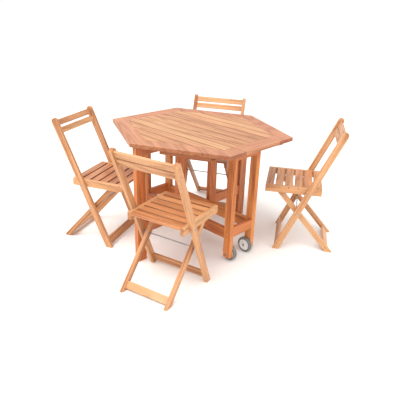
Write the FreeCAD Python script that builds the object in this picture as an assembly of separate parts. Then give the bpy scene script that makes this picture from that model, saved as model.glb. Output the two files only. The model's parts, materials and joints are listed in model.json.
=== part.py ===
"""Patio dining set: a hexagonal gateleg table on two wheels and four folding chairs.

Every piece is modelled in the table's frame: x runs along the table's planks, y across
them, z up from the floor. At the end the whole set is moved in plan, so that the origin is
the centre of its bounding box on the floor.
"""
import FreeCAD, Part
import math
import os
from FreeCAD import Vector

# ---- table top -------------------------------------------------------------------------
TABLE_HEIGHT = 740.0        # floor to the top face
TOP_THICKNESS = 22.0
TOP_HALF_LENGTH = 504.0     # centre to each straight end
TOP_HALF_WIDTH = 527.0      # centre to each side point
CORNER_OFFSET = 279.0       # centre line to each end corner
PANEL_HALF_WIDTH = 150.0    # centre line to the seam of a leaf
SEAM_GAP = 2.0              # between the panel and a leaf, and between planks
BORDER_WIDTH = 95.0         # boards around the field of planks
PLANK_WIDTH = 71.0
BATTEN_THICKNESS = 18.0
BATTEN_WIDTH = 36.0
CLEAT_INSET = 6.0           # from the slanting edge of a leaf to its cleat
EASE = 1.5                  # rounding on the edges of boards

# ---- table base ------------------------------------------------------------------------
BASE_HALF_LENGTH = 405.0
BASE_HALF_WIDTH = 116.0
POST_WIDTH = 50.0
POST_THICKNESS = 31.0
RAIL_THICKNESS = 24.0
TOP_RAIL_HEIGHT = 68.0
SIDE_RAIL_BOTTOM = 155.0
SIDE_RAIL_HEIGHT = 68.0
END_RAIL_BOTTOM = 170.0
END_RAIL_HEIGHT = 62.0

# ---- wheels, under the right-hand end ----------------------------------------------------
WHEEL_RADIUS = 50.0
WHEEL_WIDTH = 22.0
TYRE_DEPTH = 15.0
WHEEL_SETBACK = 32.0        # from the base's end to the axle
AXLE_WOOD = 17.0            # from the axle down to the foot of its post
AXLE_RADIUS = 5.0
BORE_CLEARANCE = 0.05
RUNNING_GAP = 0.5           # between parts that turn side by side

# ---- gates -----------------------------------------------------------------------------
GATE_REACH = 385.0          # hinge axis to the outer edge
GATE_THICKNESS = 30.0
STILE_WIDTH = 64.0
GATE_RAIL_THICKNESS = 22.0
GATE_LOW_RAIL_BOTTOM = 176.0
GATE_LOW_RAIL_HEIGHT = 64.0
GATE_TOP_RAIL_HEIGHT = 56.0
HINGE_STILE_BOTTOM = 110.0
GATE_OFFSET = -1.0          # hinge axis of the near gate, along x
REST_GAP = 0.3              # between the gate's top and the leaf it carries
KNUCKLE_RADIUS = 3.5
PLATE_THICKNESS = 1.8
PLATE_WIDTH = 26.0
HINGE_LENGTH = 60.0
PIN_RADIUS = 1.6

# ---- leaf hinges -----------------------------------------------------------------------
LEAF_KNUCKLE_RADIUS = 3.0
MIDDLE_HINGE = 200.0        # on the side away from the gate's swing

# ---- folding chair, seen from its side: u forward, z up, from the line of the back feet --
CHAIR_HEIGHT = 796.0
CHAIR_HALF_WIDTH = 197.0
LEG_THICKNESS = 20.0
LONG_LEG_WIDTH = 38.0
SHORT_LEG_WIDTH = 32.0
FRONT_FOOT = 337.0          # foot of the long legs
TOP_SETBACK = 6.0           # top of the long legs
PIVOT_HEIGHT = 256.0        # where the legs cross
SEAT_HEIGHT = 429.0
SEAT_BACK = 95.0
SEAT_FRONT = 439.0
SLAT_THICKNESS = 16.0
SLAT_COUNT = 6
SLAT_GAP = 10.0
SEAT_RAIL_HEIGHT = 44.0
SEAT_PIVOT_DROP = 33.0      # top of the seat to its bolts
SIDE_GAP = 1.0              # between legs and rails that pass each other
BACK_SLAT_WIDTH = 36.0
BACK_SLAT_GAP = 12.0
BACK_SLAT_DROP = 15.0       # leg top to the upper back slat
BACK_SLAT_THICKNESS = 14.0
STRETCHER_THICKNESS = 16.0
FRONT_STRETCHER_WIDTH = 50.0
REAR_STRETCHER_WIDTH = 42.0
STRETCHER_RISE = 16.0       # floor to each stretcher, along the leg
SUPPORT_WIDTH = 24.0        # bar that carries the front of the seat
ROD_RADIUS = 4.0
SEAT_BOLT_RADIUS = 3.5
CAP_RADIUS = 6.0            # caps on the chairs' rods and bolts
CAP_HEIGHT = 3.0
NUT_RADIUS = 8.0
NUT_HEIGHT = 5.0
NUT_RECESS = 6.0            # depth of the pocket for each axle nut

# ---- where each chair stands: line of its back feet (x, y) and the way that it faces -----
CHAIR_PLACES = {
    "front_chair": (340.0, -714.0, 103.5),
    "left_chair": (-626.0, -500.0, 25.1),
    "back_chair": (-405.0, 646.0, -61.9),
    "right_chair": (667.0, 594.0, -147.5),
}

# ---- derived sizes -----------------------------------------------------------------------
UNDERSIDE = TABLE_HEIGHT - TOP_THICKNESS
FIELD_END = TOP_HALF_LENGTH - BORDER_WIDTH
SLOPE = (TOP_HALF_WIDTH - CORNER_OFFSET) / TOP_HALF_LENGTH
SLANT = math.atan(SLOPE)
BORDER_DROP = BORDER_WIDTH / math.cos(SLANT)
END_HINGE = TOP_HALF_LENGTH - BORDER_WIDTH / 2
AXLE_X = BASE_HALF_LENGTH - WHEEL_SETBACK
POST_LIFT = WHEEL_RADIUS - AXLE_WOOD
POST_INNER = BASE_HALF_WIDTH - POST_THICKNESS
GATE_AXIS_Y = BASE_HALF_WIDTH + KNUCKLE_RADIUS + RUNNING_GAP
SLAT_UNDERSIDE = SEAT_HEIGHT - SLAT_THICKNESS
SEAT_PIVOT_Z = SEAT_HEIGHT - SEAT_PIVOT_DROP
LEG_INNER = CHAIR_HALF_WIDTH - LEG_THICKNESS
SEAT_RAIL_OUTER = LEG_INNER - SIDE_GAP
SEAT_RAIL_INNER = SEAT_RAIL_OUTER - LEG_THICKNESS
SHORT_OUTER = SEAT_RAIL_INNER - SIDE_GAP
SHORT_INNER = SHORT_OUTER - LEG_THICKNESS


# ---- shapes that repeat --------------------------------------------------------------------
def box(x_range, y_range, z_range):
    """A block between two values on each axis, in either order."""
    low = Vector(min(x_range), min(y_range), min(z_range))
    high = Vector(max(x_range), max(y_range), max(z_range))
    size = high - low
    return Part.makeBox(size.x, size.y, size.z, low)


def eased(solid, radius=EASE):
    """The same board with its long edges rounded."""
    longest = max(edge.Length for edge in solid.Edges)
    edges = [edge for edge in solid.Edges if edge.Length > 0.6 * longest]
    return solid.makeFillet(radius, edges)


def flat_prism(points, z_low, z_high):
    """An outline in plan, thickened upwards."""
    corners = [Vector(x, y, z_low) for x, y in points]
    face = Part.Face(Part.makePolygon(corners + corners[:1]))
    return face.extrude(Vector(0, 0, z_high - z_low))


def rod(start, end, radius):
    """A round bar between two points."""
    return Part.makeCylinder(radius, (end - start).Length, start, end - start)


def mirrored_y(shape):
    return shape.mirror(Vector(0, 0, 0), Vector(0, 1, 0))


def half_turn(shape):
    """The same shape on the far side of the table: everything there is turned, not mirrored."""
    turned = shape.copy()
    turned.rotate(Vector(0, 0, 0), Vector(0, 0, 1), 180)
    return turned


# ---- table top -------------------------------------------------------------------------
def centre_planks():
    edge = PANEL_HALF_WIDTH - SEAM_GAP / 2
    count = round(2 * edge / (PLANK_WIDTH + SEAM_GAP))
    width = (2 * edge - (count - 1) * SEAM_GAP) / count
    planks = []
    for index in range(count):
        start = -edge + index * (width + SEAM_GAP)
        plank = box((-FIELD_END, FIELD_END), (start, start + width), (UNDERSIDE, TABLE_HEIGHT))
        planks.append(eased(plank))
    return planks


def centre_end_boards():
    edge = PANEL_HALF_WIDTH - SEAM_GAP / 2
    return [eased(box((side * FIELD_END, side * TOP_HALF_LENGTH), (-edge, edge), (UNDERSIDE, TABLE_HEIGHT)))
            for side in (-1, 1)]


def slant_y(x, inset):
    """Distance from the centre line to a line set in from the slanting edge."""
    return TOP_HALF_WIDTH - inset / math.cos(SLANT) - abs(x) * SLOPE


def leaf_border():
    """Border boards of the near leaf, mitred at its corners and at its point."""
    seam = PANEL_HALF_WIDTH + SEAM_GAP / 2
    inner_corner = slant_y(FIELD_END, BORDER_WIDTH)
    boards = []
    for side in (-1, 1):
        end_board = [(side * FIELD_END, -seam), (side * TOP_HALF_LENGTH, -seam),
                     (side * TOP_HALF_LENGTH, -CORNER_OFFSET), (side * FIELD_END, -inner_corner)]
        slanting = [(side * FIELD_END, -inner_corner), (side * TOP_HALF_LENGTH, -CORNER_OFFSET),
                    (0, -TOP_HALF_WIDTH), (0, -slant_y(0, BORDER_WIDTH))]
        boards.append(flat_prism(end_board, UNDERSIDE, TABLE_HEIGHT))
        boards.append(flat_prism(slanting, UNDERSIDE, TABLE_HEIGHT))
    return boards


def leaf_planks():
    """Planks of the near leaf, cut to the field inside its border."""
    seam = PANEL_HALF_WIDTH + SEAM_GAP / 2
    inner_corner = slant_y(FIELD_END, BORDER_WIDTH)
    tip = slant_y(0, BORDER_WIDTH)
    field = flat_prism([(-FIELD_END, -seam), (FIELD_END, -seam), (FIELD_END, -inner_corner),
                        (0, -tip), (-FIELD_END, -inner_corner)], UNDERSIDE, TABLE_HEIGHT)
    planks = []
    start = seam
    while start < tip - PLANK_WIDTH / 3:
        row = box((-FIELD_END, FIELD_END), (-start, -start - PLANK_WIDTH), (UNDERSIDE, TABLE_HEIGHT))
        planks.append(field.common(row).Solids[0])
        start += PLANK_WIDTH + SEAM_GAP
    return planks


def leaf_battens():
    """Two end battens and the slanting cleat that lie under the near leaf."""
    z_range = (UNDERSIDE - BATTEN_THICKNESS, UNDERSIDE)
    middle = TOP_HALF_LENGTH - BORDER_WIDTH / 2
    near_end = PANEL_HALF_WIDTH + PLATE_WIDTH + 10
    far_end = slant_y(middle, BATTEN_WIDTH + 2 * CLEAT_INSET) - BATTEN_WIDTH / 2
    pieces = [eased(box((side * middle - BATTEN_WIDTH / 2, side * middle + BATTEN_WIDTH / 2),
                        (-near_end, -far_end), z_range)) for side in (-1, 1)]
    start = TOP_HALF_LENGTH * 0.3
    end = FIELD_END
    outer = CLEAT_INSET
    inner = CLEAT_INSET + BATTEN_WIDTH
    cleat = [(start, -slant_y(start, outer)), (end, -slant_y(end, outer)),
             (end, -slant_y(end, inner)), (start, -slant_y(start, inner))]
    pieces.append(flat_prism(cleat, *z_range))
    return pieces


# ---- butt hinges -----------------------------------------------------------------------
def hinge_half(fixed, knuckle_radius):
    """Half of a butt hinge about the z axis, with its plate towards +x on the +y side.

    The fixed half has the two end knuckles and the pin; the moving half has the middle one.
    """
    third = HINGE_LENGTH / 3
    spans = [(third + RUNNING_GAP, 2 * third - RUNNING_GAP)]
    if fixed:
        spans = [(0, third), (2 * third, HINGE_LENGTH)]
    face = knuckle_radius + RUNNING_GAP
    half = box((face, PLATE_WIDTH), (face - PLATE_THICKNESS, face), (0, HINGE_LENGTH))
    for low, high in spans:
        tab = box((0, face + 1), (face - PLATE_THICKNESS, face), (low, high))
        knuckle = Part.makeCylinder(knuckle_radius, high - low, Vector(0, 0, low))
        half = half.fuse([tab, knuckle])
    if fixed:
        half = half.fuse(Part.makeCylinder(PIN_RADIUS, HINGE_LENGTH))
    else:
        half = half.cut(Part.makeCylinder(PIN_RADIUS + BORE_CLEARANCE, HINGE_LENGTH))
    return half.removeSplitter().Solids[0]


def leaf_hinge_halves(fixed):
    """Hinge halves along the near seam, with their pins along x, under the top."""
    halves = []
    for middle in (-END_HINGE, MIDDLE_HINGE, END_HINGE):
        half = hinge_half(fixed, LEAF_KNUCKLE_RADIUS)
        half.rotate(Vector(0, 0, 0), Vector(1, 1, 1), 120)
        if not fixed:
            half = mirrored_y(half)
        axis_z = UNDERSIDE - LEAF_KNUCKLE_RADIUS - RUNNING_GAP
        half.translate(Vector(middle - HINGE_LENGTH / 2, -PANEL_HALF_WIDTH, axis_z))
        halves.append(half)
    return halves


def gate_hinge_halves(fixed):
    """Hinge halves between the near side of the base and its gate, on both rails."""
    low = SIDE_RAIL_BOTTOM + (SIDE_RAIL_HEIGHT - HINGE_LENGTH) / 2
    high = UNDERSIDE - (TOP_RAIL_HEIGHT + HINGE_LENGTH) / 2
    halves = []
    for bottom in (low, high):
        half = hinge_half(fixed, KNUCKLE_RADIUS)
        if not fixed:
            half = mirrored_y(half)
        half.translate(Vector(GATE_OFFSET, -GATE_AXIS_Y, bottom))
        halves.append(half)
    return halves


# ---- table base ------------------------------------------------------------------------
def end_posts():
    posts = []
    for end in (-1, 1):
        foot = POST_LIFT if end > 0 else 0.0
        for side in (-1, 1):
            post = eased(box((end * (BASE_HALF_LENGTH - POST_WIDTH), end * BASE_HALF_LENGTH),
                             (side * POST_INNER, side * BASE_HALF_WIDTH), (foot, UNDERSIDE)))
            if end > 0:
                outside = Vector(AXLE_X, side * BASE_HALF_WIDTH * 2, WHEEL_RADIUS)
                pocket = Vector(AXLE_X, side * (BASE_HALF_WIDTH - NUT_RECESS), WHEEL_RADIUS)
                middle = Vector(AXLE_X, 0, WHEEL_RADIUS)
                post = post.cut(rod(outside, middle, AXLE_RADIUS + BORE_CLEARANCE))
                post = post.cut(rod(outside, pocket, NUT_RADIUS + 1))
            posts.append(post)
    return posts


def side_rails():
    inner_end = BASE_HALF_LENGTH - POST_WIDTH
    rails = []
    for side in (-1, 1):
        y_range = (side * (BASE_HALF_WIDTH - RAIL_THICKNESS), side * BASE_HALF_WIDTH)
        for low, high in ((SIDE_RAIL_BOTTOM, SIDE_RAIL_BOTTOM + SIDE_RAIL_HEIGHT),
                          (UNDERSIDE - TOP_RAIL_HEIGHT, UNDERSIDE)):
            rails.append(eased(box((-inner_end, inner_end), y_range, (low, high))))
    return rails


def end_rails():
    rails = []
    for end in (-1, 1):
        outer = end * (BASE_HALF_LENGTH - EASE)
        x_range = (outer - end * RAIL_THICKNESS, outer)
        for low, high in ((END_RAIL_BOTTOM, END_RAIL_BOTTOM + END_RAIL_HEIGHT),
                          (UNDERSIDE - TOP_RAIL_HEIGHT, UNDERSIDE)):
            rails.append(eased(box(x_range, (-POST_INNER, POST_INNER), (low, high))))
    return rails


# ---- gates -----------------------------------------------------------------------------
GATE_END = GATE_AXIS_Y + KNUCKLE_RADIUS + RUNNING_GAP
GATE_EDGE = GATE_AXIS_Y + GATE_REACH
GATE_X_LOW = GATE_OFFSET - KNUCKLE_RADIUS + RUNNING_GAP
GATE_TOP = UNDERSIDE - REST_GAP


def gate_stiles():
    x_range = (GATE_X_LOW, GATE_X_LOW + GATE_THICKNESS)
    inner = box(x_range, (-GATE_END, -GATE_END - STILE_WIDTH), (HINGE_STILE_BOTTOM, GATE_TOP))
    outer = box(x_range, (-GATE_EDGE, -GATE_EDGE + STILE_WIDTH), (0, GATE_TOP))
    return [eased(inner), eased(outer)]


def gate_rails():
    middle = GATE_X_LOW + GATE_THICKNESS / 2
    x_range = (middle - GATE_RAIL_THICKNESS / 2, middle + GATE_RAIL_THICKNESS / 2)
    y_range = (-GATE_END - STILE_WIDTH, -GATE_EDGE + STILE_WIDTH)
    low = box(x_range, y_range, (GATE_LOW_RAIL_BOTTOM, GATE_LOW_RAIL_BOTTOM + GATE_LOW_RAIL_HEIGHT))
    high = box(x_range, y_range, (GATE_TOP - GATE_TOP_RAIL_HEIGHT, GATE_TOP))
    return [eased(low), eased(high)]


# ---- wheels ----------------------------------------------------------------------------
WHEEL_OUTER = POST_INNER - 3 * RUNNING_GAP
WHEEL_INNER = WHEEL_OUTER - WHEEL_WIDTH


def wheel_solid(profile, side):
    """A ring turned about the axle from an outline of (distance along the axle, radius)."""
    corners = [Vector(AXLE_X, side * y, WHEEL_RADIUS + r) for y, r in profile]
    face = Part.Face(Part.makePolygon(corners + corners[:1]))
    return face.revolve(Vector(AXLE_X, 0, WHEEL_RADIUS), Vector(0, 1, 0), 360)


def wheel_tyre(side):
    inner = WHEEL_RADIUS - TYRE_DEPTH + BORE_CLEARANCE
    bevel = WHEEL_WIDTH / 5
    profile = [(WHEEL_INNER, inner), (WHEEL_OUTER, inner), (WHEEL_OUTER, WHEEL_RADIUS - bevel),
               (WHEEL_OUTER - bevel, WHEEL_RADIUS), (WHEEL_INNER + bevel, WHEEL_RADIUS),
               (WHEEL_INNER, WHEEL_RADIUS - bevel)]
    return [wheel_solid(profile, side)]


def wheel_hub(side):
    """Rim, dished web and boss in one moulding."""
    rim = WHEEL_RADIUS - TYRE_DEPTH
    rim_inner = rim - 4
    boss = AXLE_RADIUS + 6
    bore = AXLE_RADIUS + BORE_CLEARANCE
    middle = (WHEEL_INNER + WHEEL_OUTER) / 2
    profile = [(WHEEL_INNER, rim), (WHEEL_INNER, rim_inner), (middle - 3, rim_inner - 4),
               (middle - 3, boss + 2), (WHEEL_INNER, boss), (WHEEL_INNER, bore),
               (WHEEL_OUTER, bore), (WHEEL_OUTER, boss), (middle + 3, boss + 2),
               (middle + 3, rim_inner - 4), (WHEEL_OUTER, rim_inner), (WHEEL_OUTER, rim)]
    return [wheel_solid(profile, side)]


def axle_bolts():
    """One bolt for each wheel: head inside, nut in the pocket of the post."""
    bolts = []
    for side in (-1, 1):
        head = side * (WHEEL_INNER - RUNNING_GAP)
        seat = side * (BASE_HALF_WIDTH - NUT_RECESS)
        end = seat + side * NUT_HEIGHT
        shank = rod(Vector(AXLE_X, head, WHEEL_RADIUS), Vector(AXLE_X, end, WHEEL_RADIUS), AXLE_RADIUS)
        cap = rod(Vector(AXLE_X, head, WHEEL_RADIUS),
                  Vector(AXLE_X, head - side * NUT_HEIGHT, WHEEL_RADIUS), NUT_RADIUS)
        nut = rod(Vector(AXLE_X, seat, WHEEL_RADIUS), Vector(AXLE_X, end, WHEEL_RADIUS), NUT_RADIUS)
        bolts.append(shank.fuse([cap, nut]).removeSplitter().Solids[0])
    return bolts


# ---- folding chair, built in its own frame: x forward, y to its left, z up -----------------
LONG_RUN = FRONT_FOOT - TOP_SETBACK
LONG_ANGLE = math.atan2(CHAIR_HEIGHT, -LONG_RUN)
PIVOT_U = FRONT_FOOT - LONG_RUN * PIVOT_HEIGHT / CHAIR_HEIGHT
SHORT_ANGLE = math.atan2(PIVOT_HEIGHT, PIVOT_U)
SEAT_PIVOT_U = FRONT_FOOT - LONG_RUN * SEAT_PIVOT_Z / CHAIR_HEIGHT
SHORT_TOP_Z = SLAT_UNDERSIDE - SHORT_LEG_WIDTH / 2 - SIDE_GAP
SHORT_TOP_U = SHORT_TOP_Z / math.tan(SHORT_ANGLE)


def leg(foot_u, angle, top_z, width, y_low, y_high):
    """A straight leg with a level foot and a round top end."""
    along = Vector(math.cos(angle), 0, math.sin(angle))
    across = Vector(-math.sin(angle), 0, math.cos(angle)) * (width / 2)
    foot = Vector(foot_u, y_low, 0)
    top = foot + along * (top_z / math.sin(angle))
    slide = across.z / along.z
    front, rear = foot - across + along * slide, foot + across - along * slide
    outline = Part.Wire([
        Part.LineSegment(front, top - across).toShape(),
        Part.Arc(top - across, top + along * (width / 2), top + across).toShape(),
        Part.LineSegment(top + across, rear).toShape(),
        Part.LineSegment(rear, front).toShape(),
    ])
    solid = Part.Face(outline).extrude(Vector(0, y_high - y_low, 0))
    rims = [edge for edge in solid.Edges if abs(edge.tangentAt(edge.FirstParameter).y) < 0.1
            and edge.BoundBox.ZMax > 1]
    return solid.makeFillet(EASE, rims)


def board_on_leg(foot_u, angle, start, width, y_half, offset, thickness):
    """A cross board between two legs: along the leg from start, and square to it."""
    board = box((start, start + width), (-y_half, y_half), (offset, offset + thickness))
    board = eased(board)
    board.rotate(Vector(0, 0, 0), Vector(0, 1, 0), -math.degrees(angle))
    board.translate(Vector(foot_u, 0, 0))
    return board


def pivot_hole(u, z, radius):
    return rod(Vector(u, -2 * CHAIR_HALF_WIDTH, z), Vector(u, 2 * CHAIR_HALF_WIDTH, z), radius)


def long_legs():
    top_z = CHAIR_HEIGHT - LONG_LEG_WIDTH / 2
    rod_hole = pivot_hole(PIVOT_U, PIVOT_HEIGHT, ROD_RADIUS + BORE_CLEARANCE)
    bolt_hole = pivot_hole(SEAT_PIVOT_U, SEAT_PIVOT_Z, SEAT_BOLT_RADIUS + BORE_CLEARANCE)
    return [leg(FRONT_FOOT, LONG_ANGLE, top_z, LONG_LEG_WIDTH, low, low + LEG_THICKNESS)
            .cut(rod_hole).cut(bolt_hole) for low in (-CHAIR_HALF_WIDTH, LEG_INNER)]


def short_legs():
    rod_hole = pivot_hole(PIVOT_U, PIVOT_HEIGHT, ROD_RADIUS + BORE_CLEARANCE)
    return [leg(0, SHORT_ANGLE, SHORT_TOP_Z, SHORT_LEG_WIDTH, low, low + LEG_THICKNESS).cut(rod_hole)
            for low in (-SHORT_OUTER, SHORT_INNER)]


def back_slats():
    leg_length = CHAIR_HEIGHT / math.sin(LONG_ANGLE)
    slats = []
    for index in range(2):
        start = leg_length - BACK_SLAT_DROP - BACK_SLAT_WIDTH - index * (BACK_SLAT_WIDTH + BACK_SLAT_GAP)
        slats.append(board_on_leg(FRONT_FOOT, LONG_ANGLE, start, BACK_SLAT_WIDTH, LEG_INNER,
                                  -BACK_SLAT_THICKNESS / 2, BACK_SLAT_THICKNESS))
    return slats


def front_stretcher():
    """Flush with the front edges of the long legs, clear of the short legs when folded."""
    return [board_on_leg(FRONT_FOOT, LONG_ANGLE, STRETCHER_RISE, FRONT_STRETCHER_WIDTH, LEG_INNER,
                         -LONG_LEG_WIDTH / 2, STRETCHER_THICKNESS)]


def leg_rails():
    """Rear stretcher, and the bar at the top that the seat rests on."""
    rear = board_on_leg(0, SHORT_ANGLE, STRETCHER_RISE, REAR_STRETCHER_WIDTH, SHORT_INNER,
                        -STRETCHER_THICKNESS / 2, STRETCHER_THICKNESS)
    bar = box((SHORT_TOP_U - SUPPORT_WIDTH / 2, SHORT_TOP_U + SUPPORT_WIDTH / 2),
              (-SHORT_INNER, SHORT_INNER), (SLAT_UNDERSIDE - SUPPORT_WIDTH, SLAT_UNDERSIDE))
    return [rear, eased(bar)]


def pivots():
    """Steel rod where the legs cross, with a cap at each end, and the two seat bolts."""
    outer = CHAIR_HALF_WIDTH
    end = outer + CAP_HEIGHT
    steel = rod(Vector(PIVOT_U, -end, PIVOT_HEIGHT), Vector(PIVOT_U, end, PIVOT_HEIGHT), ROD_RADIUS)
    pieces = []
    for side in (-1, 1):
        cap = rod(Vector(PIVOT_U, side * outer, PIVOT_HEIGHT), Vector(PIVOT_U, side * end, PIVOT_HEIGHT),
                  CAP_RADIUS)
        steel = steel.fuse(cap)
        bolt = rod(Vector(SEAT_PIVOT_U, side * SEAT_RAIL_INNER, SEAT_PIVOT_Z),
                   Vector(SEAT_PIVOT_U, side * end, SEAT_PIVOT_Z), SEAT_BOLT_RADIUS)
        head = rod(Vector(SEAT_PIVOT_U, side * outer, SEAT_PIVOT_Z),
                   Vector(SEAT_PIVOT_U, side * end, SEAT_PIVOT_Z), CAP_RADIUS)
        pieces.append(bolt.fuse(head).removeSplitter().Solids[0])
    return [steel.removeSplitter().Solids[0]] + pieces


def seat_rails():
    hole = pivot_hole(SEAT_PIVOT_U, SEAT_PIVOT_Z, SEAT_BOLT_RADIUS + BORE_CLEARANCE)
    z_range = (SEAT_HEIGHT - SEAT_RAIL_HEIGHT, SEAT_HEIGHT)
    return [eased(box((SEAT_BACK, SEAT_FRONT), (side * SEAT_RAIL_INNER, side * SEAT_RAIL_OUTER), z_range))
            .cut(hole) for side in (-1, 1)]


def seat_slats():
    """Between the rails and flush with them."""
    width = (SEAT_FRONT - SEAT_BACK - (SLAT_COUNT - 1) * SLAT_GAP) / SLAT_COUNT
    slats = []
    for index in range(SLAT_COUNT):
        start = SEAT_BACK + index * (width + SLAT_GAP)
        slats.append(eased(box((start, start + width), (-SEAT_RAIL_INNER, SEAT_RAIL_INNER),
                               (SLAT_UNDERSIDE, SEAT_HEIGHT))))
    return slats


CHAIR_PARTS = {
    "long_legs": long_legs,
    "back_slats": back_slats,
    "front_stretcher": front_stretcher,
    "short_legs": short_legs,
    "leg_rails": leg_rails,
    "pivots": pivots,
    "seat_rails": seat_rails,
    "seat_slats": seat_slats,
}


# ---- the whole set -----------------------------------------------------------------------
def build_nodes():
    nodes = {
        "centre_planks": centre_planks(),
        "centre_end_boards": centre_end_boards(),
        "end_posts": end_posts(),
        "side_rails": side_rails(),
        "end_rails": end_rails(),
        "wheel_axle_bolts": axle_bolts(),
        "near_wheel_tyre": wheel_tyre(-1),
        "near_wheel_hub": wheel_hub(-1),
        "far_wheel_tyre": wheel_tyre(1),
        "far_wheel_hub": wheel_hub(1),
    }
    sided = {
        "leaf_planks": leaf_planks(),
        "leaf_border": leaf_border(),
        "leaf_battens": leaf_battens(),
        "leaf_hinge_plates": leaf_hinge_halves(False),
        "gate_stiles": gate_stiles(),
        "gate_rails": gate_rails(),
        "gate_hinge_plates": gate_hinge_halves(False),
    }
    for name, solids in sided.items():
        nodes["near_" + name] = solids
        nodes["far_" + name] = [half_turn(solid) for solid in solids]
    for name, halves in (("top_hinge_plates", leaf_hinge_halves(True)),
                         ("base_hinge_plates", gate_hinge_halves(True))):
        nodes[name] = halves + [half_turn(half) for half in halves]
    for part, build in CHAIR_PARTS.items():
        solids = build()
        for chair, (x, y, facing) in CHAIR_PLACES.items():
            nodes[chair + "_" + part] = [stood(solid, x, y, facing) for solid in solids]
    return nodes


def stood(solid, x, y, facing):
    """A chair's piece turned to its facing and set on the floor at its place."""
    copy = solid.copy()
    copy.rotate(Vector(0, 0, 0), Vector(0, 0, 1), facing)
    copy.translate(Vector(x, y, 0))
    return copy


def main():
    nodes = {name: Part.makeCompound(solids) for name, solids in build_nodes().items()}
    whole = Part.makeCompound(list(nodes.values())).BoundBox
    shift = Vector(-whole.Center.x, -whole.Center.y, 0)
    os.makedirs("parts", exist_ok=True)
    for name, shape in nodes.items():
        shape.translate(shift)
        shape.exportStep("parts/" + name + ".step")
    print("moved by", round(shift.x, 3), round(shift.y, 3))
    print("size", round(whole.XLength, 1), round(whole.YLength, 1), round(whole.ZLength, 1))


main()
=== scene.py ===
"""Patio dining set: finishes, fastenings, floor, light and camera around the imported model.

The camera and the light come first, then the shader helpers, the finishes, and last the
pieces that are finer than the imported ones.
"""

import json
import math

import bmesh
import bpy
from mathutils import Matrix, Vector


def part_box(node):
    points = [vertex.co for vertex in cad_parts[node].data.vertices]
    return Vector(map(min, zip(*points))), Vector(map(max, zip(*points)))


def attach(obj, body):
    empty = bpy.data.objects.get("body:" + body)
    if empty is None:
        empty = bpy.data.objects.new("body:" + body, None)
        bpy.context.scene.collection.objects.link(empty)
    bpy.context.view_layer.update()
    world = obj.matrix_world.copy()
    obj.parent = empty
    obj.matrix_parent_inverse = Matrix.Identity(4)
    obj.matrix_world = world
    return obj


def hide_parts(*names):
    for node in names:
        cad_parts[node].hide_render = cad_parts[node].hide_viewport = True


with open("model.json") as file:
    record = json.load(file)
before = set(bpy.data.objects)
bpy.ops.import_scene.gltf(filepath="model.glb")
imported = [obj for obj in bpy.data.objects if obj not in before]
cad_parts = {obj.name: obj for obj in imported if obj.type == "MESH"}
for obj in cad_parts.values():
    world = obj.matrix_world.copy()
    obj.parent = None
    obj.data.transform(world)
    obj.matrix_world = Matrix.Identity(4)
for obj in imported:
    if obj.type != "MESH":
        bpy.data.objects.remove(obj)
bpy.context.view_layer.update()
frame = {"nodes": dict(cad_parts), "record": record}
RECORD = frame["record"]
JOINTS = {joint["name"]: joint for joint in RECORD["behaviour"]["joints"]}
CHAIRS = ("front_chair", "left_chair", "back_chair", "right_chair")
UP = Vector((0.0, 0.0, 1.0))


def middle(node):
    low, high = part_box(node)
    return (Vector(low) + Vector(high)) / 2


TABLE = middle("centre_planks")
TABLE.z = 0.0


# ---- camera, light and floor -----------------------------------------------------------
EYE = Vector((1.8998, -1.9438, 1.4529))   # from the floor under the table's centre
EYE_YAW = math.radians(133.8)
EYE_PITCH = math.radians(23.8)
EYE_ROLL = math.radians(2.0)
LENS = 40.58
SENSOR_WIDTH = 36.0

FLOOR_HALF = 20.0
FLOOR_DROP = 0.0003   # keeps the floor just clear of the feet


def stand_camera():
    level = Vector((math.cos(EYE_YAW), math.sin(EYE_YAW), 0.0))
    ahead = level * math.cos(EYE_PITCH) - UP * math.sin(EYE_PITCH)
    right = ahead.cross(UP).normalized()
    over = right.cross(ahead)
    side = right * math.cos(EYE_ROLL) + over * math.sin(EYE_ROLL)
    top = over * math.cos(EYE_ROLL) - right * math.sin(EYE_ROLL)
    turn = Matrix((side, top, -ahead)).transposed().to_4x4()
    data = bpy.data.cameras.new("eye")
    data.lens = LENS
    data.sensor_width = SENSOR_WIDTH
    camera = bpy.data.objects.new("eye", data)
    camera.matrix_world = Matrix.Translation(TABLE + EYE) @ turn
    bpy.context.scene.collection.objects.link(camera)
    bpy.context.scene.camera = camera


def hang_lamp(name, place, aim, size, power, colour):
    """A square soft box at a place, turned to face its aim."""
    data = bpy.data.lights.new(name, "AREA")
    data.shape = "SQUARE"
    data.size = size
    data.energy = power
    data.color = colour
    lamp = bpy.data.objects.new(name, data)
    lamp.location = TABLE + Vector(place)
    ahead = TABLE + Vector(aim) - lamp.location
    lamp.rotation_euler = ahead.to_track_quat("-Z", "Y").to_euler()
    bpy.context.scene.collection.objects.link(lamp)


def hang_sun(name, source, strength, spread):
    """Even light over the whole floor, from the side that source lies on."""
    data = bpy.data.lights.new(name, "SUN")
    data.energy = strength
    data.angle = math.radians(spread)
    data.color = (1.0, 0.985, 0.96)
    lamp = bpy.data.objects.new(name, data)
    lamp.location = TABLE + Vector(source)
    lamp.rotation_euler = Vector(source).to_track_quat("Z", "Y").to_euler()
    bpy.context.scene.collection.objects.link(lamp)


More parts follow.
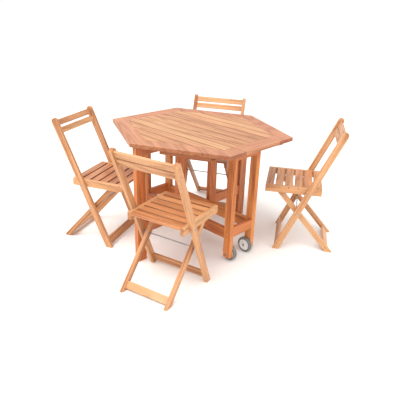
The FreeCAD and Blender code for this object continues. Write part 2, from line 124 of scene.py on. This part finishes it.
def light_studio():
    world = bpy.data.worlds.new("white room")
    world.use_nodes = True
    background = world.node_tree.nodes["Background"]
    background.inputs["Color"].default_value = (1.0, 0.985, 0.97, 1.0)
    background.inputs["Strength"].default_value = 1.04
    bpy.context.scene.world = world
    hang_sun("ceiling light", (0.5, -1.6, 2.6), 1.62, 40.0)
    hang_lamp("soft box overhead", (-0.9, -1.3, 3.2), (0.0, 0.0, 0.4), 2.4, 44.0,
              (1.0, 0.98, 0.95))
    hang_lamp("soft box at the right", (3.2, 0.2, 1.7), (0.2, 0.0, 0.4), 1.5, 15.0,
              (1.0, 0.97, 0.94))
    bpy.context.scene.view_settings.view_transform = "Standard"


def lay_floor():
    shape = bmesh.new()
    bmesh.ops.create_grid(shape, x_segments=8, y_segments=8, size=FLOOR_HALF)
    bmesh.ops.translate(shape, verts=shape.verts, vec=(0.0, 0.0, -FLOOR_DROP))
    mesh = bpy.data.meshes.new("studio_floor")
    shape.to_mesh(mesh)
    shape.free()
    floor = bpy.data.objects.new("studio_floor", mesh)
    bpy.context.scene.collection.objects.link(floor)
    return floor


# ---- shader helpers --------------------------------------------------------------------
class Flow:
    """A number, colour or vector that varies over a surface and can be used in sums."""

    def __init__(self, finish, socket):
        self.finish = finish
        self.socket = socket

    def out(self, name):
        return Flow(self.finish, self.socket.node.outputs[name])

    def __add__(self, other):
        return self.finish.sum("ADD", self, other)

    def __sub__(self, other):
        return self.finish.sum("SUBTRACT", self, other)

    def __rsub__(self, other):
        return self.finish.sum("SUBTRACT", other, self)

    def __mul__(self, other):
        return self.finish.sum("MULTIPLY", self, other)

    def __pow__(self, other):
        return self.finish.sum("POWER", self, other)

    __radd__ = __add__
    __rmul__ = __mul__


class Finish:
    """A material in the making, with one Principled shader."""

    def __init__(self, name, **fixed):
        self.material = bpy.data.materials.new(name)
        self.material.use_nodes = True
        self.tree = self.material.node_tree
        self.shader = self.tree.nodes["Principled BSDF"]
        for socket, value in fixed.items():
            self.shader.inputs[socket.replace("_", " ")].default_value = value

    def node(self, kind, settings=None, values=None, out=0):
        """Any node: its settings first, then its sockets as values or links."""
        node = self.tree.nodes.new(kind)
        for name, value in (settings or {}).items():
            setattr(node, name, value)
        for key, value in (values or {}).items():
            self.feed(node.inputs[key], value)
        return Flow(self, node.outputs[out])

    def feed(self, socket, value):
        if isinstance(value, Flow):
            self.tree.links.new(value.socket, socket)
        else:
            socket.default_value = value

    def sum(self, operation, first, second=None):
        values = {0: first} if second is None else {0: first, 1: second}
        return self.node("ShaderNodeMath", {"operation": operation}, values)

    def vector(self, operation, first, second, out=0):
        return self.node("ShaderNodeVectorMath", {"operation": operation},
                         {0: first, 1: second}, out)

    def mix(self, share, first, second, blend="MIX"):
        """Two colours mixed by a share from 0 to 1."""
        return self.node("ShaderNodeMix", {"data_type": "RGBA", "blend_type": blend},
                         {0: share, 6: first, 7: second}, 2)

    def ramp(self, value, low, high):
        """0 at low, 1 at high, smooth in between."""
        return self.node("ShaderNodeMapRange", {"interpolation_type": "SMOOTHSTEP"},
                         {"Value": value, "From Min": low, "From Max": high})

    def noise(self, place, scale, detail=2.0, rough=0.5, twist=0.0):
        return self.node("ShaderNodeTexNoise", None,
                         {"Vector": place, "Scale": scale, "Detail": detail, "Roughness": rough,
                          "Distortion": twist})

    def place(self):
        return self.node("ShaderNodeTexCoord", None, None, "Object")

    def facing(self):
        return self.node("ShaderNodeTexCoord", None, None, "Normal")

    def stretched(self, place, scale):
        return self.vector("MULTIPLY", place, scale)

    def bump(self, height, strength, depth):
        normal = self.node("ShaderNodeBump", None, {"Strength": strength, "Distance": depth,
                                                    "Height": height})
        self.feed(self.shader.inputs["Normal"], normal)

    def show(self, colour, roughness=None):
        self.feed(self.shader.inputs["Base Color"], colour)
        if roughness is not None:
            self.feed(self.shader.inputs["Roughness"], roughness)
        return self.material


# ---- wood ------------------------------------------------------------------------------
WOODS = {   # pale early wood, darker late wood, how much boards differ, gloss of the oil
    "top planks": ((0.560, 0.298, 0.132), (0.300, 0.112, 0.042), 0.60, 0.38),
    "top border": ((0.490, 0.214, 0.102), (0.290, 0.092, 0.038), 0.30, 0.38),
    "base": ((0.690, 0.268, 0.074), (0.300, 0.066, 0.016), 0.42, 0.42),
    # painted shade: the gates and end rails get a darker, redder copy of the base wood in place of
    # the shade under the leaves
    "gate": ((0.560, 0.180, 0.048), (0.220, 0.042, 0.012), 0.42, 0.42),
    # painted shade: the battens under the leaves get a darker, redder wood in place of the shade
    # beneath the top
    "batten": ((0.323, 0.108, 0.037), (0.146, 0.037, 0.012), 0.34, 0.46),
    "chair": ((0.640, 0.350, 0.165), (0.315, 0.110, 0.034), 0.60, 0.40),
    "seat": ((0.700, 0.345, 0.150), (0.350, 0.118, 0.038), 0.42, 0.40),
    # painted shade: the left chair's seat is a darker copy of the seat wood, standing in for less
    # light on its top
    "deep seat": ((0.530, 0.240, 0.105), (0.265, 0.085, 0.032), 0.42, 0.40),
}
TONE_START = 0.45    # share of a wood's spread that lies on the paler side
OWN_PLACE = 6.0      # how far apart two boards are cut from the same grain, m
PORE_TINT = (0.42, 0.26, 0.16, 1.0)
RED_TINT = (0.97, 0.80, 0.76, 1.0)
# painted shade: the colour that the seams between boards are darkened towards
SEAM_SHADE_TINT = (0.24, 0.12, 0.065, 1.0)
END_TINT = (0.66, 0.52, 0.44, 1.0)
RUBBED_EDGE = (0.0008, 0.0040)   # from the edge of a board: fully rubbed, and not at all
SEAM_SHADE_EDGE = (0.0006, 0.0048)
SEAM_SHADE_END = 0.004
SEAM_SHADE_DEPTH = {   # how dark the painted shade in the seams is on woods laid board beside board
    "top planks": 0.75,
    "seat": 0.45,
    "deep seat": 0.45,
}


def boards_of(mesh):
    """A mesh as one merged shape, and the corners of each separate board in it."""
    shape = bmesh.new()
    shape.from_mesh(mesh)
    bmesh.ops.remove_doubles(shape, verts=shape.verts, dist=1e-6)
    left = set(shape.verts)
    boards = []
    while left:
        queue = [left.pop()]
        board = []
        while queue:
            corner = queue.pop()
            board.append(corner)
            for edge in corner.link_edges:
                other = edge.other_vert(corner)
                if other in left:
                    left.remove(other)
                    queue.append(other)
        boards.append(board)
    return shape, boards


def middle_of(points):
    low = Vector([min(point[axis] for point in points) for axis in range(3)])
    high = Vector([max(point[axis] for point in points) for axis in range(3)])
    return (low + high) / 2


def board_axes(run, flat):
    """Rows that turn a place into (along the grain, across it, through the board)."""
    run = run.normalized()
    through = (flat - run * flat.dot(run)).normalized()
    return Matrix((run, through.cross(run), through))


SAME_WIDTH = 0.001   # boards closer than this in width count as alike
SIDE_BY_SIDE = 0.004   # boards that overlap by more than this along an axis aren't in a row


def usual_width(spans):
    return sorted(high - low for low, high in spans)[len(spans) // 2]


def steps_between(spans):
    """Lowest edge and pitch of the boards of the usual width that stand in a row."""
    usual = usual_width(spans)
    spans = sorted((span for span in spans if abs(span[1] - span[0] - usual) < SAME_WIDTH),
                   key=lambda span: span[0] + span[1])
    gaps = [(b[0] + b[1] - a[0] - a[1]) / 2 for a, b in zip(spans, spans[1:])
            if b[0] > a[1] - SIDE_BY_SIDE]
    if not gaps:
        return None
    pitch = min(gaps)
    return (spans[0][0] + spans[0][1] - pitch) / 2, pitch


def spans_along(axis, boards):
    """Lowest and highest point of each board along one axis."""
    return [(min(point.dot(axis) for point in board), max(point.dot(axis) for point in board))
            for board in boards]


def within(finish, place, spans):
    """Number of the board that a place falls in, and how far inside its edge it lies."""
    steps = steps_between(spans)
    half = usual_width(spans) / 2
    if steps is None:
        centre = (min(low for low, high in spans) + max(high for low, high in spans)) / 2
        return None, half - finish.sum("ABSOLUTE", place - centre)
    count = (place - steps[0]) * (1.0 / steps[1])
    cell = finish.sum("FLOOR", count)
    offset = (count - cell - 0.5) * steps[1]
    return cell, half - finish.sum("ABSOLUTE", offset)


def wood(name, kind, run, flat, boards, seed):
    """Oiled hardwood whose grain follows the boards, with its own tone for every board."""
    pale, dark, spread, gloss = WOODS[kind]
    finish = Finish(name, Coat_Weight=0.07, Coat_Roughness=0.30, Specular_IOR_Level=0.36)
    axes = board_axes(run, flat)
    turned = finish.node("ShaderNodeMapping", {"vector_type": "POINT"},
                         {"Vector": finish.place(), "Rotation": axes.to_euler()})
    parts = finish.node("ShaderNodeSeparateXYZ", None, {0: turned})
    ident = seed
    inside = []
    for axis, label in enumerate("XYZ"):
        cell, depth = within(finish, parts.out(label), spans_along(axes[axis], boards))
        inside.append(depth)
        if cell is not None:
            ident = cell * (1.37 + 2.11 * axis) + ident
    chance = finish.node("ShaderNodeTexWhiteNoise", {"noise_dimensions": "1D"}, {"W": ident})
    own = finish.vector("MULTIPLY", chance.out("Color"), (OWN_PLACE,) * 3)
    place = finish.vector("ADD", turned, own)

    figure = finish.noise(finish.stretched(place, (0.11, 1.0, 1.0)), 8.5, 1.5, 0.4, 0.35)
    rings = finish.sum("SINE", figure * 52.0) * 0.5 + 0.5
    late = rings ** 2.2
    fibre = finish.noise(finish.stretched(place, (0.018, 1.0, 1.0)), 520.0, 3.0, 0.6)
    streak = finish.noise(finish.stretched(place, (0.04, 1.0, 1.0)), 80.0, 2.0, 0.5)
    speck = finish.noise(finish.stretched(place, (0.05, 1.0, 1.0)), 1500.0, 0.0)
    pores = finish.ramp(speck, 0.60, 0.70)
    cloud = finish.noise(finish.stretched(place, (0.4, 1.0, 1.0)), 6.0, 2.0, 0.5)

    share = late * 0.38 + finish.ramp(fibre, 0.30, 0.74) * 0.20
    share = share + finish.ramp(streak, 0.34, 0.66) * 0.46
    share = share + finish.ramp(cloud, 0.32, 0.68) * 0.30 - 0.30
    tone = chance.out("Value") * spread - spread * TONE_START
    share = finish.node("ShaderNodeClamp", None, {0: share + tone})
    colour = finish.mix(share, (*pale, 1.0), (*dark, 1.0))
    redder = finish.node("ShaderNodeSeparateColor", None, {0: chance.out("Color")}).out("Green")
    colour = finish.mix(redder * 0.55, colour, RED_TINT, "MULTIPLY")
    colour = finish.mix(pores * 0.45, colour, PORE_TINT, "MULTIPLY")

    # rubbed arrises are paler, and the seams between boards are darkened with painted shade
    edge = finish.sum("MAXIMUM", inside[1], inside[2])
    rubbed = (1.0 - finish.ramp(edge, *RUBBED_EDGE)) * finish.ramp(cloud, 0.35, 0.60)
    worn = (min(pale[0] * 1.25, 1.0), pale[1] * 1.4, pale[2] * 1.7, 1.0)
    colour = finish.mix(rubbed * 0.45, colour, worn)
    if kind in SEAM_SHADE_DEPTH:
        spans = spans_along(axes[1], boards)
        low, high = min(span[0] for span in spans), max(span[1] for span in spans)
        # painted shade: each board darkens towards the seams with its neighbours
        seam = 1.0 - finish.ramp(inside[1], *SEAM_SHADE_EDGE)
        if kind != "top planks":   # the outer edges of a seat are open, with no seam to paint shade into
            reach = finish.sum("ABSOLUTE", parts.out("Y") - (low + high) / 2)
            last = (high - low) / 2 - (spans[0][1] - spans[0][0]) / 2
            seam = seam * (1.0 - finish.ramp(reach, last, last + SEAM_SHADE_END))
        colour = finish.mix(seam * SEAM_SHADE_DEPTH[kind], colour, SEAM_SHADE_TINT, "MULTIPLY")

    across = finish.vector("DOT_PRODUCT", finish.facing(), tuple(run.normalized()), "Value")
    end_grain = finish.ramp(finish.sum("ABSOLUTE", across), 0.55, 0.95)
    colour = finish.mix(end_grain * 0.75, colour, END_TINT, "MULTIPLY")

    roughness = fibre * 0.16 + late * 0.07 + end_grain * 0.20 + pores * 0.1 + (gloss - 0.08)
    finish.bump(fibre * 0.5 + late * 0.35 - pores * 0.8, 0.45, 0.0005)
    return finish.show(colour, roughness)


# ---- metal, rubber and moulded plastic -------------------------------------------------
def zinc_steel():
    finish = Finish("zinc plated steel", Metallic=1.0)
    place = finish.place()
    cloud = finish.noise(place, 60.0, 3.0, 0.6)
    spangle = finish.node("ShaderNodeTexVoronoi", {"feature": "F1"},
                          {"Vector": place, "Scale": 420.0})
    scratch = finish.noise(place, 900.0, 2.0)
    dull = finish.ramp(cloud, 0.42, 0.66)
    colour = finish.mix(dull * 0.5, (0.40, 0.42, 0.45, 1.0), (0.27, 0.27, 0.28, 1.0))
    colour = finish.mix(spangle.out("Distance") * 0.2, colour, (0.50, 0.51, 0.52, 1.0))
    finish.bump(scratch * 0.6 + cloud * 0.4, 0.2, 0.0002)
    return finish.show(colour, dull * 0.22 + scratch * 0.12 + 0.20)


def tyre_rubber():
    finish = Finish("grey tyre rubber", Specular_IOR_Level=0.35)
    place = finish.place()
    dust = finish.ramp(finish.noise(place, 45.0, 4.0, 0.6), 0.40, 0.70)
    grit = finish.noise(place, 1100.0, 3.0, 0.65)
    colour = finish.mix(dust * 0.7, (0.190, 0.188, 0.180, 1.0), (0.320, 0.312, 0.292, 1.0))
    colour = finish.mix(grit * 0.3, colour, (0.60, 0.60, 0.60, 1.0), "MULTIPLY")
    finish.bump(grit * 0.7 + dust * 0.3, 0.35, 0.0004)
    return finish.show(colour, dust * 0.18 + grit * 0.1 + 0.58)


def wheel_plastic():
    finish = Finish("pale moulded wheel plastic", Specular_IOR_Level=0.5)
    place = finish.place()
    cloud = finish.noise(place, 30.0, 3.0, 0.5)
    stipple = finish.noise(place, 1600.0, 1.0, 0.5)
    soil = finish.ramp(finish.noise(place, 75.0, 4.0, 0.7), 0.52, 0.74)
    colour = finish.mix(cloud * 0.5, (0.880, 0.870, 0.850, 1.0), (0.780, 0.770, 0.750, 1.0))
    colour = finish.mix(soil * 0.35, colour, (0.330, 0.290, 0.240, 1.0))
    finish.bump(stipple, 0.25, 0.0002)
    return finish.show(colour, stipple * 0.12 + soil * 0.2 + 0.38)


def floor_paint():
    finish = Finish("pale studio floor", Specular_IOR_Level=0.2)
    place = finish.place()
    cloud = finish.noise(place, 1.3, 3.0, 0.5)
    colour = finish.mix(cloud * 0.5, (0.93, 0.925, 0.915, 1.0), (0.90, 0.895, 0.885, 1.0))
    finish.bump(finish.noise(place, 300.0, 2.0), 0.05, 0.0003)
    return finish.show(colour, cloud * 0.1 + 0.62)


# ---- putting the finishes on -----------------------------------------------------------
ALONG_X = Vector((1.0, 0.0, 0.0))
ALONG_Y = Vector((0.0, 1.0, 0.0))


def chair_facing(chair):
    return -Vector(JOINTS[chair + "_draw_out"]["axis"]).normalized()


def longest_run(shape):
    """The way that the longest edge of a shape runs, once its faces are flat."""
    flatten_faces(shape)
    longest = max(shape.edges, key=lambda edge: edge.calc_length())
    return longest.verts[1].co - longest.verts[0].co


def leg_run(mesh):
    """The way that a leg leans, pointing up."""
    shape = boards_of(mesh)[0]
    run = longest_run(shape)
    shape.free()
    return run if run.z > 0 else -run


def wood_plan():
    """For each wooden node: kind of wood, way of the grain, and the face that shows most."""
    plan = {
        "centre_planks": ("top planks", ALONG_X, UP),
        "centre_end_boards": ("top border", ALONG_Y, UP),
        "end_posts": ("base", UP, ALONG_Y),
        "side_rails": ("base", ALONG_X, ALONG_Y),
        "end_rails": ("gate", ALONG_Y, ALONG_X),
    }
    for side in ("near", "far"):
        plan[side + "_leaf_planks"] = ("top planks", ALONG_X, UP)
        plan[side + "_gate_stiles"] = ("gate", UP, ALONG_X)
        plan[side + "_gate_rails"] = ("gate", ALONG_Y, ALONG_X)
    for chair in CHAIRS:
        facing = chair_facing(chair)
        sideways = UP.cross(facing)
        for part in ("long_legs", "short_legs"):
            node = chair + "_" + part
            plan[node] = ("chair", leg_run(frame["nodes"][node].data), sideways)
        leaning = plan[chair + "_long_legs"][1].cross(sideways)
        plan[chair + "_back_slats"] = ("chair", sideways, leaning)
        plan[chair + "_front_stretcher"] = ("chair", sideways, leaning)
        plan[chair + "_leg_rails"] = ("chair", sideways, facing)
        plan[chair + "_seat_rails"] = ("chair", facing, sideways)
        seat_wood = "deep seat" if chair == "left_chair" else "seat"
        plan[chair + "_seat_slats"] = (seat_wood, sideways, UP)
    return plan


def paint(thing, material):
    thing.data.materials.clear()
    thing.data.materials.append(material)


def assign(node, material):
    for socket in frame["nodes"][node].material_slots:
        socket.material = material


def finish_wood():
    for count, (node, (kind, run, flat)) in enumerate(sorted(wood_plan().items())):
        shape, boards = boards_of(frame["nodes"][node].data)
        points = [[corner.co.copy() for corner in board] for board in boards]
        shape.free()
        assign(node, wood(node + " wood", kind, run, flat, points, 3.7 + count * 0.61))


# ---- finer pieces ----------------------------------------------------------------------
SHARP = math.radians(35)         # edges sharper than this stay crisp in the shading
BEVEL_FROM = math.radians(40)    # edges sharper than this are eased
LEAF_EASE = 0.0015
SMALL_EASE = 0.0005


def new_piece(name, shape, material, body, bevel=0.0):
    """A finished mesh as an object at the origin, riding on its body."""
    bmesh.ops.recalc_face_normals(shape, faces=shape.faces)
    mesh = bpy.data.meshes.new(name)
    shape.to_mesh(mesh)
    shape.free()
    piece = bpy.data.objects.new(name, mesh)
    bpy.context.scene.collection.objects.link(piece)
    mesh.materials.append(material)
    mesh.polygons.foreach_set("use_smooth", [True] * len(mesh.polygons))
    mesh.set_sharp_from_angle(angle=SHARP)
    if bevel:
        round_over = piece.modifiers.new("eased edges", "BEVEL")
        round_over.width = bevel
        round_over.segments = 2
        round_over.limit_method = "ANGLE"
        round_over.angle_limit = BEVEL_FROM
    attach(piece, body)
    return piece


def only(shape, board):
    """Drops everything but one board from a merged shape."""
    keep = set(board)
    rest = [corner for corner in shape.verts if corner not in keep]
    bmesh.ops.delete(shape, geom=rest, context="VERTS")


def flatten_faces(shape):
    """Joins the triangles of each flat face."""
    bmesh.ops.dissolve_limit(shape, angle_limit=math.radians(0.5), verts=shape.verts,
                             edges=shape.edges)


def by_place(board):
    """Key that puts boards in an order by their middles, to the millimetre."""
    return tuple(round(value, 3) for value in middle_of([corner.co for corner in board]))


def ease_leaf_boards():
    """The leaves' boards with eased edges, each border board with its own grain."""
    for side in ("near", "far"):
        body = side + "_leaf"
        for part, kind, slot in (("leaf_border", "top border", "border_wood"),
                                 ("leaf_battens", "batten", "base_wood")):
            node = side + "_" + part
            count = len(boards_of(frame["nodes"][node].data)[1])
            for index in range(count):
                shape, boards = boards_of(frame["nodes"][node].data)
                boards.sort(key=by_place)
                only(shape, boards[index])
                run = longest_run(shape)
                points = [[corner.co.copy() for corner in shape.verts]]
                name = "%s_board_%d" % (node, index + 1)
                seed = 11.3 + index * 0.83 + len(name) * 0.37
                look = wood(name + " wood", kind, run, UP, points, seed)
                piece = new_piece(name, shape, look, body, LEAF_EASE)
                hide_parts(node)


SMALL_STEPS = 16   # corners round a dowel or a screw
TYRE_STEPS = 64


def turn_profile(shape, profile, foot, axis, steps=20):
    """Spins a few points, given as (distance out along the axis, radius), about the axis."""
    axis = axis.normalized()
    side = axis.orthogonal().normalized()
    corners = [shape.verts.new(foot + axis * out + side * radius) for out, radius in profile]
    edges = [shape.edges.new(pair) for pair in zip(corners, corners[1:])]
    bmesh.ops.spin(shape, geom=corners + edges, cent=foot, axis=axis, dvec=(0.0, 0.0, 0.0),
                   angle=2 * math.pi, steps=steps, use_merge=True)


def close_poles(shape):
    """Joins the points that a spin leaves together on its axis."""
    bmesh.ops.remove_doubles(shape, verts=shape.verts, dist=2e-6)


def frame_of(chair):
    """Rows: the way the chair faces, its left, and up."""
    facing = chair_facing(chair)
    return Matrix((facing, UP.cross(facing), UP))


def boards_in(node, axes):
    """Middle and half size of each board of a node, in the frame whose rows are given."""
    shape, boards = boards_of(frame["nodes"][node].data)
    found = []
    for board in boards:
        spans = [spans_along(axis, [[corner.co for corner in board]])[0] for axis in axes]
        found.append((Vector([(low + high) / 2 for low, high in spans]),
                      Vector([(high - low) / 2 for low, high in spans])))
    shape.free()
    return found


STILL = Matrix.Identity(3)
PEG_RADIUS = 0.0045
PEG_PROUD = 0.0003
PEG_SUNK = 0.003
PEG_STEPS = (-0.5, 0.5)   # the pair at a joint, as shares of the rail's half height


def peg(shape, foot, outward):
    """A dowel end that stands a hair proud of the board."""
    profile = [(-PEG_SUNK, 0.0), (-PEG_SUNK, PEG_RADIUS), (0.0, PEG_RADIUS),
               (PEG_PROUD, PEG_RADIUS - 0.0005), (PEG_PROUD * 1.3, 0.0)]
    turn_profile(shape, profile, foot, outward, SMALL_STEPS)


def pegs_piece(name, places, body, kind, seed):
    """Dowel ends at (foot, outward) places, all looking the same way or its opposite."""
    shape = bmesh.new()
    for foot, outward in places:
        peg(shape, foot, outward)
    close_poles(shape)
    foot, run = places[0]
    points = [[foot - run * PEG_SUNK, foot + run * PEG_SUNK]]
    look = wood(name + " wood", kind, run, run.orthogonal(), points, seed)
    return new_piece(name, shape, look, body)


def peg_base():
    """Two dowels through each post into the end of each side rail."""
    places = []
    rails = boards_in("side_rails", STILL)
    for post, size in boards_in("end_posts", STILL):
        outward = ALONG_Y * (1.0 if post.y > TABLE.y else -1.0)
        for rail, rail_size in rails:
            if (rail.y > TABLE.y) != (post.y > TABLE.y):
                continue
            for step in PEG_STEPS:
                foot = Vector((post.x, post.y, rail.z + rail_size.z * step)) + outward * size.y
                places.append((foot, outward))
    pegs_piece("base_joint_dowels", places, "base", "base", 21.7)


def peg_gates():
    """Two dowels on both faces of a gate, at each end of its rails."""
    for side in ("near", "far"):
        places = []
        for stile, size in boards_in(side + "_gate_stiles", STILL):
            for rail, rail_size in boards_in(side + "_gate_rails", STILL):
                for face in (-1.0, 1.0):
                    for step in PEG_STEPS:
                        height = rail.z + rail_size.z * step
                        foot = Vector((stile.x + face * size.x, stile.y, height))
                        places.append((foot, ALONG_X * face))
        pegs_piece(side + "_gate_joint_dowels", places, side + "_gate", "gate", 27.1)


def peg_chair(chair):
    """Dowels where slats and stretchers meet the legs, and along the seat's side rails."""
    axes = frame_of(chair)
    back = axes.transposed()
    for body, outer, inner in (("back", "long_legs", ("back_slats", "front_stretcher")),
                               ("legs", "short_legs", ("leg_rails",)),
                               ("seat", "seat_rails", ("seat_slats",))):
        places = []
        pair = boards_in(chair + "_" + outer, axes)
        middle_y = sum(board.y for board, _ in pair) / 2
        for board, size in pair:
            face = 1.0 if board.y > middle_y else -1.0
            for part in inner:
                for slat, _ in boards_in(chair + "_" + part, axes):
                    local = Vector((slat.x, board.y + face * size.y, slat.z))
                    places.append((back @ local, axes[1] * face))
        seed = 31.3 + len(chair) * 0.7 + len(body)
        pegs_piece(chair + "_" + body + "_dowels", places, chair + "_" + body, "chair",
                   seed)


ROD_RADIUS = 0.0039
BOLT_RADIUS = 0.0034
CAP_RADIUS = 0.0060


def cap_profile(start):
    """A low dome with a thin flange, from its seat outwards."""
    steps = [(0.0, CAP_RADIUS), (0.0007, CAP_RADIUS), (0.0009, CAP_RADIUS - 0.0008),
             (0.0020, CAP_RADIUS - 0.0014), (0.0028, CAP_RADIUS - 0.0035), (0.0030, 0.0)]
    return [(start + out, radius) for out, radius in steps]


def fit_pivots(chair):
    """Steel rod and seat bolts with domed caps, in place of the plain ones."""
    axes = frame_of(chair)
    legs = boards_in(chair + "_long_legs", axes)
    rails = boards_in(chair + "_seat_rails", axes)
    half = max(abs(a.y - b.y) for a, _ in legs for b, _ in legs) / 2 + legs[0][1].y
    rail_inner = max(abs(a.y - b.y) for a, _ in rails for b, _ in rails) / 2 - rails[0][1].y
    shape = bmesh.new()
    crossing = Vector(JOINTS[chair + "_leg_fold"]["pos_m"])
    left = axes[1]
    ends = cap_profile(half)
    rod = [(-out, radius) for out, radius in reversed(ends)]
    rod += [(-half, ROD_RADIUS), (half, ROD_RADIUS)] + ends
    turn_profile(shape, rod, crossing, left)
    seat_pivot = Vector(JOINTS[chair + "_seat_fold"]["pos_m"])
    for side in (-1.0, 1.0):
        bolt = [(rail_inner, 0.0), (rail_inner, BOLT_RADIUS), (half, BOLT_RADIUS)] + ends
        turn_profile(shape, bolt, seat_pivot, left * side)
    close_poles(shape)
    piece = new_piece(chair + "_rod_and_bolts", shape, STEEL, chair + "_back")
    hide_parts(chair + "_pivots")


def screw(shape, foot, outward):
    """A round-headed screw with a socket."""
    turn_profile(shape, [(-0.001, 0.0), (-0.001, 0.0031), (0.0, 0.0031), (0.0008, 0.0029),
                         (0.0014, 0.0022), (0.0016, 0.0015), (0.0007, 0.0013), (0.0006, 0.0)],
                 foot, outward, SMALL_STEPS)


SCREW_FROM_SEAM = 0.004   # from the middle of the plate, away from the seam
SCREW_SUNK = 0.0018
SCREW_STEPS = (-0.62, 0.62)   # the pair on a plate, as shares of its half length


def screw_leaf_hinges():
    """Two screws through each plate of the hinges under the leaves."""
    for node, body in (("top_hinge_plates", "base"), ("near_leaf_hinge_plates", "near_leaf"),
                       ("far_leaf_hinge_plates", "far_leaf")):
        shape = bmesh.new()
        for plate, size in boards_in(node, STILL):
            side = "near" if plate.y < TABLE.y else "far"
            seam = Vector(JOINTS[side + "_leaf_lift"]["pos_m"])
            way = 1.0 if plate.y > seam.y else -1.0
            plate_y = plate.y + way * SCREW_FROM_SEAM
            low = plate.z + size.z - SCREW_SUNK
            for step in SCREW_STEPS:
                screw(shape, Vector((plate.x + size.x * step, plate_y, low)), -UP)
        close_poles(shape)
        new_piece(node.replace("plates", "screws"), shape, STEEL, body)


RIBS = 6
RIB_TURN = 15            # the first rib, in degrees from level
RIB_THICKNESS = 0.0026
RIB_INNER = 0.010        # where the ribs start, out from the axle
TYRE_DEPTH = 0.01495
RIM_DEPTH = 0.019        # from the tread in to where the ribs end


def rib_wheels():
    """Six ribs on both sides of each hub, and a tyre with rounded shoulders and two grooves."""
    for side in ("near", "far"):
        body = side + "_wheel"
        axle = Vector(JOINTS[side + "_wheel_turn"]["pos_m"])
        low, high = (Vector(corner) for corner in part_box(side + "_wheel_tyre"))
        middle_y = (low.y + high.y) / 2
        radius = (high.z - low.z) / 2
        half = (high.y - low.y) / 2
        centre = Vector((axle.x, middle_y, axle.z))
        rim = radius - RIM_DEPTH
        shape = bmesh.new()
        for face in (-1.0, 1.0):
            for turn in range(RIBS):
                made = bmesh.ops.create_cube(shape, size=1.0)["verts"]
                bmesh.ops.scale(shape, verts=made,
                                vec=(rim - RIB_INNER, half * 0.62, RIB_THICKNESS))
                bmesh.ops.translate(shape, verts=made,
                                    vec=((rim + RIB_INNER) / 2, face * half * 0.52, 0.0))
                angle = math.radians(360 // RIBS * turn + RIB_TURN)
                bmesh.ops.rotate(shape, verts=made, cent=(0.0, 0.0, 0.0),
                                 matrix=Matrix.Rotation(angle, 3, "Y"))
        bmesh.ops.translate(shape, verts=shape.verts, vec=centre)
        new_piece(side + "_wheel_ribs", shape, PLASTIC, body,
                  SMALL_EASE)

        shape = bmesh.new()
        inner = radius - TYRE_DEPTH
        outline = [(-0.96, inner - radius), (-1.00, -0.0120), (-1.00, -0.0060), (-0.93, -0.0028),
                   (-0.76, -0.0008), (-0.48, 0.0), (-0.44, -0.0016), (-0.30, -0.0016), (-0.26, 0.0),
                   (0.26, 0.0), (0.30, -0.0016), (0.44, -0.0016), (0.48, 0.0), (0.76, -0.0008),
                   (0.93, -0.0028), (1.00, -0.0060), (1.00, -0.0120), (0.96, inner - radius)]
        profile = [(share * half, radius + drop) for share, drop in outline]
        turn_profile(shape, profile + profile[:1], centre, ALONG_Y, TYRE_STEPS)
        close_poles(shape)
        tyre = new_piece(side + "_wheel_tread", shape, RUBBER, body)
        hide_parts(side + "_wheel_tyre")


SHANK_RADIUS = 0.0049
HEAD_RADIUS = 0.0080     # to the corners of a head or a nut
HEAD_DEPTH = 0.0042
NUT_DEPTH = 0.0036
NUT_FROM_END = 0.0048


def hex_axle_bolts():
    """Hexagon heads and nuts on the wheel axles."""
    shape = bmesh.new()
    for bolt, size in boards_in("wheel_axle_bolts", STILL):
        outward = ALONG_Y * (1.0 if bolt.y > TABLE.y else -1.0)
        shank = [(-size.y + 0.002, 0.0), (-size.y + 0.002, SHANK_RADIUS),
                 (size.y - 0.001, SHANK_RADIUS), (size.y - 0.0003, 0.0042), (size.y - 0.0003, 0.0)]
        turn_profile(shape, shank, bolt, outward)
        for start, depth in ((-size.y, HEAD_DEPTH), (size.y - NUT_FROM_END, NUT_DEPTH)):
            made = bmesh.ops.create_cone(shape, cap_ends=True, segments=6, radius1=HEAD_RADIUS,
                                         radius2=HEAD_RADIUS, depth=depth)["verts"]
            bmesh.ops.rotate(shape, verts=made, cent=(0.0, 0.0, 0.0),
                             matrix=Matrix.Rotation(math.radians(90), 3, "X"))
            bmesh.ops.translate(shape, verts=made, vec=bolt + outward * (start + depth / 2))
    close_poles(shape)
    piece = new_piece("axle_bolts_and_nuts", shape, STEEL, "base", SMALL_EASE)
    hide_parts("wheel_axle_bolts")


# ---- making it all ---------------------------------------------------------------------
stand_camera()
light_studio()
paint(lay_floor(), floor_paint())

STEEL = zinc_steel()
RUBBER = tyre_rubber()
PLASTIC = wheel_plastic()

finish_wood()
for node in frame["nodes"]:
    if "hinge_plates" in node or node.endswith("_pivots") or node == "wheel_axle_bolts":
        assign(node, STEEL)
    elif node.endswith("_tyre"):
        assign(node, RUBBER)
    elif node.endswith("_hub"):
        assign(node, PLASTIC)
ease_leaf_boards()
peg_base()
peg_gates()
for chair in CHAIRS:
    peg_chair(chair)
    fit_pivots(chair)
screw_leaf_hinges()
rib_wheels()
hex_axle_bolts()
